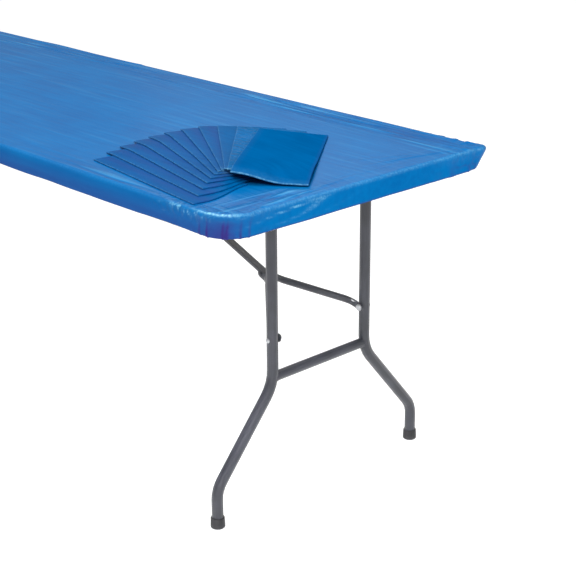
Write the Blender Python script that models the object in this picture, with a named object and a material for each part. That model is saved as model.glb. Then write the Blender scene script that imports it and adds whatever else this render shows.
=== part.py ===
"""Folding banquet table in a fitted, elastic-edged film cover, with a fan of folded spare covers on it.

Metres, +Z up. The origin is on the floor under the middle of the table, and X runs along its length.
End a is the +X end and end b the -X end. Left is +Y and right is -Y.
Each end is built in its own end frame: X points out of the table from the plane of the legs, Y lies
across and Z is the height above the floor. End b is end a turned half round.
"""
import math

import bmesh
import bpy
from mathutils import Matrix, Vector

# Whole table
TABLE_LENGTH = 2.438
TABLE_WIDTH = 0.762
TABLE_HEIGHT = 0.740
CORNER_RADIUS = 0.072
EDGE_RADIUS = 0.007
CLEARANCE = 0.0003

# Fitted cover
FILM = 0.0007
SKIRT_HEIGHT = 0.0475
UNDERTURN = 0.022
ELASTIC_RADIUS = 0.0016

# Moulded top
DECK_THICKNESS = 0.022
RIM_WALL = 0.020
RAIL_LENGTH = 2.300
RAIL_WIDTH = 0.018
RAIL_HEIGHT = 0.020
RAIL_WALL = 0.0015
RAIL_OUTSIDE_GAP = 0.009

# Leg frames
LEG_INSET = 0.140
LEG_SPACING = 0.282
FOOT_SPREAD = 0.611
KNEE_HEIGHT = 0.284
ANKLE_HEIGHT = 0.088
KNEE_RADIUS = 0.092
ANKLE_RADIUS = 0.062
TUBE_RADIUS = 0.0127
TUBE_WALL = 0.0012
CROSS_TUBE_HEIGHT = 0.2997
CROSS_TUBE_RADIUS = 0.0111
CROSS_TUBE_OVERRUN = 0.005
PIVOT_DECK_GAP = 0.0008
CAP_RADIUS = 0.0160
CAP_HEIGHT = 0.024
CAP_SOLE = 0.005

# Clamps that hold the pivot tubes under the top
CLAMP_WIDTH = 0.020
CLAMP_THICKNESS = 0.0025
CLAMP_FLANGE = 0.016
CLAMP_RAIL_GAP = 0.005
SCREW_RADIUS = 0.0020
SCREW_DEPTH = 0.010
SCREW_HEAD_RADIUS = 0.0045
SCREW_HEAD_HEIGHT = 0.0025

# Folding brace
BRACE_PIVOT_HEIGHT = 0.388
BRACE_SLOPE = math.radians(21.4)
FOLD_ANGLE = math.radians(88.0)
ELBOW_FOLDED_DROP = 0.0115
LINK_PIN_DROP = 0.0085
ARM_RADIUS = 0.0080
TAB_HALF_WIDTH = 0.0095
TAB_THICKNESS = 0.0040
TAB_REACH = 0.010
LINK_WIDTH = 0.019
LINK_HEIGHT = 0.009
LINK_WALL = 0.0012
LINK_CHAMFER = 0.0018
LINK_OVERHANG = 0.0045
RIVET_RADIUS = 0.0030
RIVET_HEAD_RADIUS = 0.0055
RIVET_HEAD_HEIGHT = 0.0032
BRACKET_LENGTH = 0.060
BRACKET_WIDTH = 0.040
BRACKET_PLATE = 0.0015
EAR_THICKNESS = 0.0025
EAR_LENGTH = 0.016
EAR_BELOW_PIN = 0.0060

# Folded spare covers, fanned out
SPARE_COUNT = 11
SPARE_WIDTH = 0.159
SPARE_LENGTH = 0.400
SPARE_THICKNESS = 0.0027
SPARE_CORNER = 0.004
FAN_CORNER = (1.0114, -0.2340)
FAN_DRIFT = (-0.0261, 0.0707)
FAN_CURL = (0.0626, -0.0596)
FAN_ANGLE = math.radians(66.1)
FAN_SPREAD = math.radians(21.4)
FAN_BOW = math.radians(5.2)

# Fineness of round shapes
CORNER_STEPS = 6
EDGE_STEPS = 2
BEND_STEPS = 4
TUBE_SIDES = 12
PIN_SIDES = 10
CAP_SIDES = 16

# Heights and places that follow from the sizes above
SKIN = FILM + CLEARANCE
DECK_TOP = TABLE_HEIGHT - SKIN
DECK_UNDERSIDE = DECK_TOP - DECK_THICKNESS
RIM_BOTTOM = TABLE_HEIGHT - SKIRT_HEIGHT + SKIN
LEG_X = TABLE_LENGTH / 2 - LEG_INSET
PIVOT_HEIGHT = DECK_UNDERSIDE - PIVOT_DECK_GAP - TUBE_RADIUS
RAIL_OUTER_Y = TABLE_WIDTH / 2 - SKIN - RIM_WALL - RAIL_OUTSIDE_GAP
RAIL_INNER_Y = RAIL_OUTER_Y - RAIL_WIDTH
LEG_Y = LEG_SPACING / 2
FOOT_Y = FOOT_SPREAD / 2
TAB_Y = LEG_Y - TUBE_RADIUS - CLEARANCE - TAB_THICKNESS / 2
ELBOW_TAB_Y = LINK_WIDTH / 2 + 2 * CLEARANCE + TAB_THICKNESS / 2
LINK_PIN_HEIGHT = DECK_UNDERSIDE - LINK_PIN_DROP
ELBOW_FOLDED_HEIGHT = DECK_UNDERSIDE - ELBOW_FOLDED_DROP
PIN_HOLE = RIVET_RADIUS + CLEARANCE
SCREW_HOLE = SCREW_RADIUS + CLEARANCE
SCREW_X = TUBE_RADIUS + CLAMP_THICKNESS + CLAMP_FLANGE / 2
CLAMP_Y = RAIL_INNER_Y - CLAMP_RAIL_GAP - CLAMP_WIDTH / 2

SIDES = (("left", 1), ("right", -1))
ENDS = (("a", 0.0), ("b", math.pi))


def clear_scene():
    for obj in list(bpy.data.objects):
        bpy.data.objects.remove(obj, do_unlink=True)


def material(name, colour, roughness, metallic=0.0):
    made = bpy.data.materials.new(name)
    made.use_nodes = True
    shader = made.node_tree.nodes["Principled BSDF"]
    shader.inputs["Base Color"].default_value = (*colour, 1.0)
    shader.inputs["Roughness"].default_value = roughness
    shader.inputs["Metallic"].default_value = metallic
    return made


def empty(name, location, turn=0.0, parent=None):
    """Adds an empty that other pieces hang from; its place is in its parent's frame."""
    made = bpy.data.objects.new(name, None)
    made.location = location
    made.rotation_euler = (0.0, 0.0, turn)
    made.parent = parent
    bpy.context.scene.collection.objects.link(made)
    return made


def add_object(name, bm, look, parent=None, smooth=False):
    """Makes the object of one piece; its mesh is moved so that it turns about its parent's origin."""
    bmesh.ops.recalc_face_normals(bm, faces=bm.faces)
    if parent is not None and parent.get("is_joint"):
        bmesh.ops.translate(bm, verts=bm.verts, vec=-parent.location)
    mesh = bpy.data.meshes.new(name)
    bm.to_mesh(mesh)
    bm.free()
    mesh.materials.append(look)
    made = bpy.data.objects.new(name, mesh)
    made.parent = parent
    bpy.context.scene.collection.objects.link(made)
    if smooth:
        mesh.shade_smooth()
        mesh.set_sharp_from_angle(angle=math.radians(40))
    return made


def use_tool(target, tool, operation="DIFFERENCE"):
    """Cuts a hidden tool out of a piece, or joins it on."""
    tool.hide_render = True
    tool.display_type = "WIRE"
    step = target.modifiers.new(tool.name, "BOOLEAN")
    step.operation = operation
    step.solver = "EXACT"
    step.object = tool


def rounded_outline(length, width, radius, height):
    """Points round a level rounded rectangle centred on the origin."""
    points = []
    for quarter, (side_x, side_y) in enumerate(((1, 1), (-1, 1), (-1, -1), (1, -1))):
        centre = Vector((side_x * (length / 2 - radius), side_y * (width / 2 - radius), height))
        for step in range(CORNER_STEPS + 1):
            angle = math.pi / 2 * (quarter + step / CORNER_STEPS)
            points.append(centre + radius * Vector((math.cos(angle), math.sin(angle), 0.0)))
    return points


def add_ring(bm, points):
    """Adds a closed ring of edges through the points."""
    verts = [bm.verts.new(point) for point in points]
    return [bm.edges.new((vert, verts[i - 1])) for i, vert in enumerate(verts)]


def close_ring(bm, ring):
    bmesh.ops.contextual_create(bm, geom=ring)


def rounded_path(corners, radii):
    """Points along a path whose inner corners are turned with the given radii."""
    path = [corners[0]]
    for before, corner, after, radius in zip(corners, corners[1:], corners[2:], radii):
        arrive = (corner - before).normalized()
        leave = (after - corner).normalized()
        bend = arrive.angle(leave)
        inward = (leave - arrive).normalized()
        centre = corner + inward * radius / math.cos(bend / 2)
        axis = arrive.cross(leave).normalized()
        start = corner - arrive * radius * math.tan(bend / 2) - centre
        for step in range(BEND_STEPS + 1):
            path.append(centre + Matrix.Rotation(bend * step / BEND_STEPS, 3, axis) @ start)
    path.append(corners[-1])
    return path


def tangents(path):
    """Direction of travel at each point of a path, halved at its bends."""
    legs = [(b - a).normalized() for a, b in zip(path, path[1:])]
    inner = [(a + b).normalized() for a, b in zip(legs, legs[1:])]
    return [legs[0], *inner, legs[-1]]


def section_ring(bm, centre, along, across, half_across, half_thick, sides):
    """Adds an oval ring square to the direction along, and returns its edges."""
    thick = along.cross(across).normalized()
    frame = Matrix((across * half_across, thick * half_thick, along)).transposed().to_4x4()
    frame.translation = centre
    made = bmesh.ops.create_circle(bm, segments=sides, radius=1.0, matrix=frame)
    return list({edge for vert in made["verts"] for edge in vert.link_edges})


def sweep_rings(bm, path, across, radius, sides):
    """Adds the wall of a round bar along a path and returns its first and last rings."""
    rings = [section_ring(bm, point, along, across, radius, radius, sides)
             for point, along in zip(path, tangents(path))]
    for ring, following in zip(rings, rings[1:]):
        bmesh.ops.bridge_loops(bm, edges=ring + following)
    return rings[0], rings[-1]


def bar(path, across, radius, sides=TUBE_SIDES):
    """A solid round bar along a path."""
    bm = bmesh.new()
    for end in sweep_rings(bm, path, across, radius, sides):
        close_ring(bm, end)
    return bm


def hollow(target, wall):
    """Turns an open outer skin into a wall of even thickness inside it."""
    step = target.modifiers.new("wall", "SOLIDIFY")
    step.thickness = wall
    step.offset = -1.0
    step.use_even_offset = True


def add_tube(name, path, across, radius, look, joint):
    """Adds a round tube with open ends along a path."""
    bm = bmesh.new()
    sweep_rings(bm, path, across, radius, TUBE_SIDES)
    made = add_object(name, bm, look, joint, True)
    hollow(made, TUBE_WALL)
    return made


def turned(profile, sides, centre=Vector(), along_y=False):
    """A solid turned about Z, or about Y, from points of radius and height."""
    bm = bmesh.new()
    verts = [bm.verts.new((radius, 0.0, height)) for radius, height in profile]
    edges = [bm.edges.new(pair) for pair in zip(verts, verts[1:])]
    bmesh.ops.spin(bm, geom=verts + edges, cent=(0, 0, 0), axis=(0, 0, 1),
                   angle=2 * math.pi, steps=sides, use_merge=True)
    bmesh.ops.remove_doubles(bm, verts=bm.verts, dist=1e-6)
    if along_y:
        bmesh.ops.rotate(bm, verts=bm.verts, matrix=Matrix.Rotation(-math.pi / 2, 3, "X"))
    bmesh.ops.translate(bm, verts=bm.verts, vec=centre)
    return bm


def hole_tool(name, centres, direction, length, radius, parent=None):
    """One hidden tool with a round bar for each hole."""
    bm = bmesh.new()
    turn = Vector((0, 0, 1)).rotation_difference(direction).to_matrix().to_4x4()
    for centre in centres:
        bmesh.ops.create_cone(bm, cap_ends=True, segments=PIN_SIDES, radius1=radius, radius2=radius,
                              depth=length, matrix=Matrix.Translation(centre) @ turn)
    return add_object(name, bm, STEEL, parent)


def block(centre, size):
    bm = bmesh.new()
    bmesh.ops.create_cube(bm, size=1.0, matrix=Matrix.Translation(centre) @ Matrix.Diagonal((*size, 1.0)))
    return bm


def brace_lengths():
    """Lengths of the arms and of the link, and how far in the link's pin lies.

    The arms and the link lie in one line at rest. Folded, the elbow has swung back towards the leg
    pivot, so the arm's length is found by halving until both halves meet there.
    """
    rise = LINK_PIN_HEIGHT - BRACE_PIVOT_HEIGHT
    pin_inset = rise / math.tan(BRACE_SLOPE)
    reach = rise / math.sin(BRACE_SLOPE)
    radius = PIVOT_HEIGHT - BRACE_PIVOT_HEIGHT
    pivot_in = radius * math.sin(FOLD_ANGLE)
    lift = ELBOW_FOLDED_HEIGHT - (PIVOT_HEIGHT - radius * math.cos(FOLD_ANGLE))
    short, long = abs(lift), reach
    for _ in range(60):
        arm = (short + long) / 2
        elbow_in = pivot_in - math.sqrt(arm ** 2 - lift ** 2)
        span = math.hypot(pin_inset - elbow_in, LINK_PIN_HEIGHT - ELBOW_FOLDED_HEIGHT)
        if span < reach - arm:
            short = arm
        else:
            long = arm
    return arm, reach - arm, pin_inset


ARM_LENGTH, LINK_LENGTH, LINK_PIN_INSET = brace_lengths()
BRACE_ALONG = Vector((-math.cos(BRACE_SLOPE), 0.0, math.sin(BRACE_SLOPE)))
BRACE_UP = Vector((math.sin(BRACE_SLOPE), 0.0, math.cos(BRACE_SLOPE)))
ACROSS = Vector((0.0, 1.0, 0.0))
OUTWARD = Vector((1.0, 0.0, 0.0))


def tabletop_panel(screw_centres):
    """Blow-moulded tray: a deck with a deep rim, hollow underneath."""
    bm = bmesh.new()
    outline = rounded_outline(TABLE_LENGTH - 2 * SKIN, TABLE_WIDTH - 2 * SKIN, CORNER_RADIUS - SKIN,
                              RIM_BOTTOM)
    sole = bmesh.ops.contextual_create(bm, geom=add_ring(bm, outline))["faces"][0]
    raised = bmesh.ops.extrude_face_region(bm, geom=[sole])["geom"]
    top = [item for item in raised if isinstance(item, bmesh.types.BMFace)][0]
    bmesh.ops.translate(bm, verts=top.verts, vec=(0, 0, DECK_TOP - RIM_BOTTOM))
    bmesh.ops.bevel(bm, geom=list(top.edges), offset=EDGE_RADIUS - SKIN, offset_type="OFFSET",
                    segments=EDGE_STEPS, profile=0.5, affect="EDGES", material=-1)
    bmesh.ops.recalc_face_normals(bm, faces=bm.faces)
    sole = min(bm.faces, key=lambda face: face.calc_center_median().z)
    bmesh.ops.inset_region(bm, faces=[sole], thickness=RIM_WALL, use_even_offset=True)
    sunk = bmesh.ops.extrude_face_region(bm, geom=[sole])["geom"]
    recess = [item for item in sunk if isinstance(item, bmesh.types.BMVert)]
    bmesh.ops.translate(bm, verts=recess, vec=(0, 0, DECK_UNDERSIDE - RIM_BOTTOM))
    if sole.is_valid:
        bmesh.ops.delete(bm, geom=[sole], context="FACES_ONLY")
    panel = add_object("tabletop_panel", bm, PLASTIC)
    holes = [Vector((x, y, DECK_UNDERSIDE)) for x, y in screw_centres]
    use_tool(panel, hole_tool("screw_hole_tool", holes, Vector((0, 0, 1)), 2 * SCREW_DEPTH + 0.002,
                              SCREW_HOLE))


def fitted_cover():
    """One sheet of film over the top, down the skirt and turned in under the rim."""
    bm = bmesh.new()
    hem_height = TABLE_HEIGHT - SKIRT_HEIGHT
    size = TABLE_LENGTH, TABLE_WIDTH, CORNER_RADIUS
    inner = TABLE_LENGTH - 2 * UNDERTURN, TABLE_WIDTH - 2 * UNDERTURN, CORNER_RADIUS - UNDERTURN
    crease = add_ring(bm, rounded_outline(*size, TABLE_HEIGHT))
    skirt = add_ring(bm, rounded_outline(*size, hem_height))
    hem = add_ring(bm, rounded_outline(*inner, hem_height - UNDERTURN))
    bmesh.ops.bridge_loops(bm, edges=crease + skirt)
    bmesh.ops.bridge_loops(bm, edges=skirt + hem)
    turned_in = {vert for edge in hem for vert in edge.verts}
    bmesh.ops.translate(bm, verts=list(turned_in), vec=(0, 0, UNDERTURN))
    close_ring(bm, crease)
    bmesh.ops.recalc_face_normals(bm, faces=bm.faces)
    bmesh.ops.bevel(bm, geom=crease, offset=EDGE_RADIUS, offset_type="OFFSET", segments=EDGE_STEPS,
                    profile=0.5, affect="EDGES", material=-1)
    hollow(add_object("fitted_cover", bm, BLUE_FILM), FILM)


def hem_elastic():
    """The elastic cord in the hem, drawn in against the inner edge of the rim."""
    inset = 2 * (UNDERTURN + CLEARANCE + ELASTIC_RADIUS)
    height = TABLE_HEIGHT - SKIRT_HEIGHT + ELASTIC_RADIUS
    points = rounded_outline(TABLE_LENGTH - inset, TABLE_WIDTH - inset, CORNER_RADIUS - inset / 2, height)
    line = bpy.data.curves.new("hem_elastic", "CURVE")
    line.dimensions = "3D"
    line.bevel_depth = ELASTIC_RADIUS
    line.bevel_resolution = 1
    spline = line.splines.new("POLY")
    spline.points.add(len(points) - 1)
    for knot, point in zip(spline.points, points):
        knot.co = (*point, 1.0)
    spline.use_cyclic_u = True
    line.materials.append(ELASTIC)
    bpy.context.scene.collection.objects.link(bpy.data.objects.new("hem_elastic", line))


def side_rail(side, sign):
    """Square steel tube under the long edge; it stiffens the top."""
    height = DECK_UNDERSIDE - CLEARANCE - RAIL_HEIGHT / 2
    centre = Vector((0.0, sign * (RAIL_OUTER_Y - RAIL_WIDTH / 2), height))
    bm = block(centre, (RAIL_LENGTH, RAIL_WIDTH, RAIL_HEIGHT))
    ends = [face for face in bm.faces if abs(face.normal.x) > 0.5]
    bmesh.ops.delete(bm, geom=ends, context="FACES_ONLY")
    hollow(add_object(f"side_rail_{side}", bm, STEEL), RAIL_WALL)


def leg_path(sign, top):
    corners = [Vector((0, sign * LEG_Y, top)), Vector((0, sign * LEG_Y, KNEE_HEIGHT)),
               Vector((0, sign * FOOT_Y, ANKLE_HEIGHT)),
               Vector((0, sign * FOOT_Y, CAP_SOLE + CLEARANCE))]
    return rounded_path(corners, (KNEE_RADIUS, ANKLE_RADIUS))


def leg_frame(end, joint):
    """Two bent legs hung from a pivot tube and joined by a cross tube, with rubber caps."""
    reach = RAIL_INNER_Y - CLEARANCE
    pivot = [Vector((0, -reach, PIVOT_HEIGHT)), Vector((0, reach, PIVOT_HEIGHT))]
    add_tube(f"pivot_tube_{end}", pivot, OUTWARD, TUBE_RADIUS, STEEL, joint)
    saddle = add_object(f"saddle_tool_{end}", bar(pivot, OUTWARD, TUBE_RADIUS + CLEARANCE), STEEL, joint)
    half_span = LEG_Y + CROSS_TUBE_OVERRUN
    across = [Vector((0, end_side * half_span, CROSS_TUBE_HEIGHT)) for end_side in (-1, 1)]
    cross = add_tube(f"cross_tube_{end}", across, OUTWARD, CROSS_TUBE_RADIUS, STEEL, joint)
    for side, sign in SIDES:
        leg = add_tube(f"leg_{side}_{end}", leg_path(sign, PIVOT_HEIGHT), OUTWARD, TUBE_RADIUS, STEEL,
                       joint)
        cope = add_object(f"cope_tool_{side}_{end}",
                          bar(leg_path(sign, PIVOT_HEIGHT), OUTWARD, TUBE_RADIUS + CLEARANCE), STEEL,
                          joint)
        pin = Vector((0, sign * LEG_Y, BRACE_PIVOT_HEIGHT))
        use_tool(leg, saddle)
        use_tool(leg, hole_tool(f"leg_hole_tool_{side}_{end}", [pin], ACROSS, 3 * TUBE_RADIUS, PIN_HOLE,
                                joint))
        use_tool(cross, cope)
        foot_cap(f"foot_cap_{side}_{end}", sign, joint)
        leg_rivet(f"leg_rivet_{side}_{end}", sign, joint)


def foot_cap(name, sign, joint):
    bore = TUBE_RADIUS + CLEARANCE
    chamfer = 0.0015
    profile = [(0.0, 0.0), (CAP_RADIUS - chamfer, 0.0), (CAP_RADIUS, chamfer),
               (CAP_RADIUS - chamfer / 2, CAP_HEIGHT - chamfer), (CAP_RADIUS - chamfer, CAP_HEIGHT),
               (bore, CAP_HEIGHT), (bore, CAP_SOLE), (0.0, CAP_SOLE)]
    add_object(name, turned(profile, CAP_SIDES, Vector((0, sign * FOOT_Y, 0))), RUBBER, joint, True)


def rivet_profile(start, finish):
    """A rivet with a domed head outside each end of the stack it holds."""
    head = RIVET_HEAD_HEIGHT
    dome = RIVET_HEAD_RADIUS * 0.6
    return [(0.0, start - head), (dome, start - 0.8 * head), (RIVET_HEAD_RADIUS, start - 0.3 * head),
            (RIVET_HEAD_RADIUS, start), (RIVET_RADIUS, start), (RIVET_RADIUS, finish),
            (RIVET_HEAD_RADIUS, finish), (RIVET_HEAD_RADIUS, finish + 0.3 * head),
            (dome, finish + 0.8 * head), (0.0, finish + head)]


def leg_rivet(name, sign, joint):
    """Bright rivet through the leg and the flat end of the brace arm."""
    inner = TAB_Y - TAB_THICKNESS / 2 - CLEARANCE
    outer = LEG_Y + TUBE_RADIUS + CLEARANCE
    start, finish = sorted((sign * inner, sign * outer))
    centre = Vector((0, 0, BRACE_PIVOT_HEIGHT))
    add_object(name, turned(rivet_profile(start, finish), PIN_SIDES, centre, True), BRIGHT_STEEL, joint,
               True)


def arm_stations():
    """Along, inward, half width and half thickness at each section, from the leg to the elbow."""
    flat = TAB_THICKNESS / 2
    tab = [(-TAB_REACH, 0.0, TAB_HALF_WIDTH * 0.45, flat), (-0.75 * TAB_REACH, 0.0, TAB_HALF_WIDTH * 0.8, flat),
           (-0.3 * TAB_REACH, 0.0, TAB_HALF_WIDTH, flat), (1.3 * TAB_REACH, 0.0, TAB_HALF_WIDTH, flat),
           (2.6 * TAB_REACH, 0.0035, 0.0088, 0.0050), (3.8 * TAB_REACH, 0.0110, ARM_RADIUS, ARM_RADIUS)]
    drop = TAB_Y - ELBOW_TAB_Y
    far = [(ARM_LENGTH - along, drop - inward, wide, thick) for along, inward, wide, thick in reversed(tab)]
    return tab + far


def brace_arm(side, sign, end, joint):
    """Steel tube with flattened ends, from the leg's rivet to the elbow in the middle."""
    stations = arm_stations()
    pivot = Vector((0, 0, BRACE_PIVOT_HEIGHT))
    path = [pivot + BRACE_ALONG * along + ACROSS * sign * (TAB_Y - inward)
            for along, inward, _, _ in stations]
    bm = bmesh.new()
    rings = [section_ring(bm, point, direction, BRACE_UP, wide, thick, TUBE_SIDES)
             for point, direction, (_, _, wide, thick) in zip(path, tangents(path), stations)]
    for ring, following in zip(rings, rings[1:]):
        bmesh.ops.bridge_loops(bm, edges=ring + following)
    close_ring(bm, rings[0])
    close_ring(bm, rings[-1])
    arm = add_object(f"brace_arm_{side}_{end}", bm, STEEL, joint, True)
    at_leg = pivot + ACROSS * sign * TAB_Y
    at_elbow = pivot + BRACE_ALONG * ARM_LENGTH + ACROSS * sign * ELBOW_TAB_Y
    use_tool(arm, hole_tool(f"arm_hole_tool_{side}_{end}", [at_leg, at_elbow], ACROSS,
                            TAB_THICKNESS + 0.002, PIN_HOLE, joint))
    elbow_rivet(f"elbow_rivet_{side}_{end}", sign, joint)


def elbow_rivet(name, sign, joint):
    """The head outside an arm at the elbow, with its shank through the arm's flat end only."""
    head = RIVET_HEAD_HEIGHT
    inner = ELBOW_TAB_Y - TAB_THICKNESS / 2
    outer = ELBOW_TAB_Y + TAB_THICKNESS / 2 + CLEARANCE
    profile = [(0.0, inner), (RIVET_RADIUS, inner), (RIVET_RADIUS, outer), (RIVET_HEAD_RADIUS, outer),
               (RIVET_HEAD_RADIUS, outer + 0.3 * head), (RIVET_HEAD_RADIUS * 0.6, outer + 0.8 * head),
               (0.0, outer + head)]
    profile = [(radius, sign * height) for radius, height in profile]
    centre = Vector((0, 0, BRACE_PIVOT_HEIGHT)) + BRACE_ALONG * ARM_LENGTH
    add_object(name, turned(profile, PIN_SIDES, centre, True), BRIGHT_STEEL, joint, True)


def brace_link(end, joint):
    """Flat steel tube from the elbow up to its bracket, with the elbow's pin across its lower end."""
    elbow = Vector((0, 0, BRACE_PIVOT_HEIGHT)) + BRACE_ALONG * ARM_LENGTH
    pin = elbow + BRACE_ALONG * LINK_LENGTH
    bm = bmesh.new()
    half_y = LINK_WIDTH / 2
    half_up = LINK_HEIGHT / 2
    corners = ((half_y, half_up - LINK_CHAMFER), (half_y - LINK_CHAMFER, half_up),
               (LINK_CHAMFER - half_y, half_up), (-half_y, half_up - LINK_CHAMFER),
               (-half_y, LINK_CHAMFER - half_up), (LINK_CHAMFER - half_y, -half_up),
               (half_y - LINK_CHAMFER, -half_up), (half_y, LINK_CHAMFER - half_up))
    ends = elbow - BRACE_ALONG * LINK_OVERHANG, pin + BRACE_ALONG * LINK_OVERHANG
    low, high = (add_ring(bm, [point + ACROSS * y + BRACE_UP * up for y, up in corners])
                 for point in ends)
    bmesh.ops.bridge_loops(bm, edges=low + high)
    link = add_object(f"brace_link_{end}", bm, STEEL, joint)
    hollow(link, LINK_WALL)
    use_tool(link, hole_tool(f"link_hole_tool_{end}", [elbow, pin], ACROSS, 2 * LINK_WIDTH, PIN_HOLE,
                             joint))
    half = LINK_WIDTH / 2
    pin_profile = [(0.0, -half), (RIVET_RADIUS, -half), (RIVET_RADIUS, half), (0.0, half)]
    add_object(f"elbow_pin_{end}", turned(pin_profile, PIN_SIDES, elbow, True), BRIGHT_STEEL, joint, True)


def link_bracket(end, frame):
    """Clevis under the deck, with the pin that the link turns on."""
    ear_y = LINK_WIDTH / 2 + CLEARANCE + EAR_THICKNESS / 2
    base_height = DECK_UNDERSIDE - CLEARANCE - BRACKET_PLATE / 2
    centre = Vector((-LINK_PIN_INSET, 0, base_height))
    bracket = add_object(f"link_bracket_{end}", block(centre, (BRACKET_LENGTH, BRACKET_WIDTH, BRACKET_PLATE)),
                         STEEL, frame)
    ear_top = base_height
    ear_bottom = LINK_PIN_HEIGHT - EAR_BELOW_PIN
    for side, sign in SIDES:
        middle = Vector((-LINK_PIN_INSET, sign * ear_y, (ear_top + ear_bottom) / 2))
        ear = add_object(f"ear_tool_{side}_{end}",
                         block(middle, (EAR_LENGTH, EAR_THICKNESS, ear_top - ear_bottom)), STEEL, frame)
        use_tool(bracket, ear, "UNION")
    pin = Vector((-LINK_PIN_INSET, 0, LINK_PIN_HEIGHT))
    use_tool(bracket, hole_tool(f"bracket_hole_tool_{end}", [pin], ACROSS, 2 * BRACKET_WIDTH, PIN_HOLE,
                                frame))
    reach = ear_y + EAR_THICKNESS / 2 + CLEARANCE
    add_object(f"link_pin_{end}", turned(rivet_profile(-reach, reach), PIN_SIDES, pin, True),
               BRIGHT_STEEL, frame, True)


def pivot_clamp(side, sign, end, frame):
    """Pressed strap round the pivot tube, screwed to the deck through its two flanges."""
    inner = TUBE_RADIUS + CLEARANCE
    outer = inner + CLAMP_THICKNESS
    top = DECK_UNDERSIDE - CLEARANCE
    reach = outer + CLAMP_FLANGE
    arc = [math.pi * (1 + step / (2 * BEND_STEPS)) for step in range(2 * BEND_STEPS + 1)]
    inner_arc = [(inner * math.cos(a), PIVOT_HEIGHT + inner * math.sin(a)) for a in arc]
    outer_arc = [(outer * math.cos(a), PIVOT_HEIGHT + outer * math.sin(a)) for a in reversed(arc)]
    outline = [(-reach, top), (-inner, top), *inner_arc, (inner, top), (reach, top),
               (reach, top - CLAMP_THICKNESS), (outer, top - CLAMP_THICKNESS), *outer_arc,
               (-outer, top - CLAMP_THICKNESS), (-reach, top - CLAMP_THICKNESS)]
    bm = bmesh.new()
    start = sign * CLAMP_Y - CLAMP_WIDTH / 2
    side_face = bmesh.ops.contextual_create(
        bm, geom=add_ring(bm, [Vector((x, start, z)) for x, z in outline]))["faces"]
    moved = bmesh.ops.extrude_face_region(bm, geom=side_face)["geom"]
    bmesh.ops.translate(bm, verts=[item for item in moved if isinstance(item, bmesh.types.BMVert)],
                        vec=(0, CLAMP_WIDTH, 0))
    clamp = add_object(f"pivot_clamp_{side}_{end}", bm, STEEL, frame)
    centres = [Vector((x, sign * CLAMP_Y, top)) for x in (-SCREW_X, SCREW_X)]
    use_tool(clamp, hole_tool(f"clamp_hole_tool_{side}_{end}", centres, Vector((0, 0, 1)),
                              4 * CLAMP_THICKNESS, SCREW_HOLE, frame))
    for place, x in (("outer", SCREW_X), ("inner", -SCREW_X)):
        deck_screw(f"clamp_screw_{side}_{place}_{end}", Vector((x, sign * CLAMP_Y, 0)), frame)


def deck_screw(name, place, frame):
    """Pan-head screw up through a flange into the deck."""
    seat = DECK_UNDERSIDE - CLEARANCE - CLAMP_THICKNESS - CLEARANCE
    low = seat - SCREW_HEAD_HEIGHT
    profile = [(0.0, low), (SCREW_HEAD_RADIUS * 0.7, low), (SCREW_HEAD_RADIUS, low + SCREW_HEAD_HEIGHT / 2),
               (SCREW_HEAD_RADIUS, seat), (SCREW_RADIUS, seat), (SCREW_RADIUS, DECK_UNDERSIDE + SCREW_DEPTH),
               (0.0, DECK_UNDERSIDE + SCREW_DEPTH)]
    add_object(name, turned(profile, PIN_SIDES, place), BRIGHT_STEEL, frame, True)


def screw_places():
    """Plan positions of every screw in the deck, in the world."""
    return [(end_sign * LEG_X + x, y)
            for end_sign in (1, -1) for x in (-SCREW_X, SCREW_X) for y in (-CLAMP_Y, CLAMP_Y)]


def joint_empty(name, place, frame):
    made = empty(name, place, parent=frame)
    made["is_joint"] = True
    return made


def end_assembly(end, turn):
    """Everything that one leg frame needs, in the frame of its end."""
    out = Matrix.Rotation(turn, 3, "Z") @ Vector((LEG_X, 0, 0))
    frame = empty(f"end_{end}", out, turn)
    leg_joint = joint_empty(f"leg_fold_{end}", Vector((0, 0, PIVOT_HEIGHT)), frame)
    brace_place = Vector((0, 0, BRACE_PIVOT_HEIGHT))
    brace_joint = joint_empty(f"brace_fold_{end}", brace_place, frame)
    link_joint = joint_empty(f"link_fold_{end}", Vector((-LINK_PIN_INSET, 0, LINK_PIN_HEIGHT)), frame)
    leg_frame(end, leg_joint)
    brace_link(end, link_joint)
    link_bracket(end, frame)
    for side, sign in SIDES:
        brace_arm(side, sign, end, brace_joint)
        pivot_clamp(side, sign, end, frame)


def fan_place(index):
    """Corner, turn and underside of one folded cover; each lies on the one before it."""
    share = 2 * index / (SPARE_COUNT - 1) - 1
    x, y = (corner + drift * share + curl * share ** 2
            for corner, drift, curl in zip(FAN_CORNER, FAN_DRIFT, FAN_CURL))
    turn = FAN_ANGLE - FAN_SPREAD * share - FAN_BOW * share ** 2
    underside = TABLE_HEIGHT + CLEARANCE + index * (SPARE_THICKNESS + CLEARANCE)
    return Vector((x, y, underside)), turn


def folded_covers():
    """The fan of folded spare covers, the lowest first."""
    for index in range(SPARE_COUNT):
        bm = block(Vector((SPARE_WIDTH / 2, SPARE_LENGTH / 2, SPARE_THICKNESS / 2)),
                   (SPARE_WIDTH, SPARE_LENGTH, SPARE_THICKNESS))
        upright = [edge for edge in bm.edges
                   if abs(edge.verts[0].co.z - edge.verts[1].co.z) > SPARE_THICKNESS / 2]
        bmesh.ops.bevel(bm, geom=upright, offset=SPARE_CORNER, offset_type="OFFSET", segments=2,
                        profile=0.5, affect="EDGES", material=-1)
        cover = add_object(f"folded_cover_{index + 1:02d}", bm, FOLDED_FILM)
        cover.location, cover.rotation_euler.z = fan_place(index)


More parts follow.
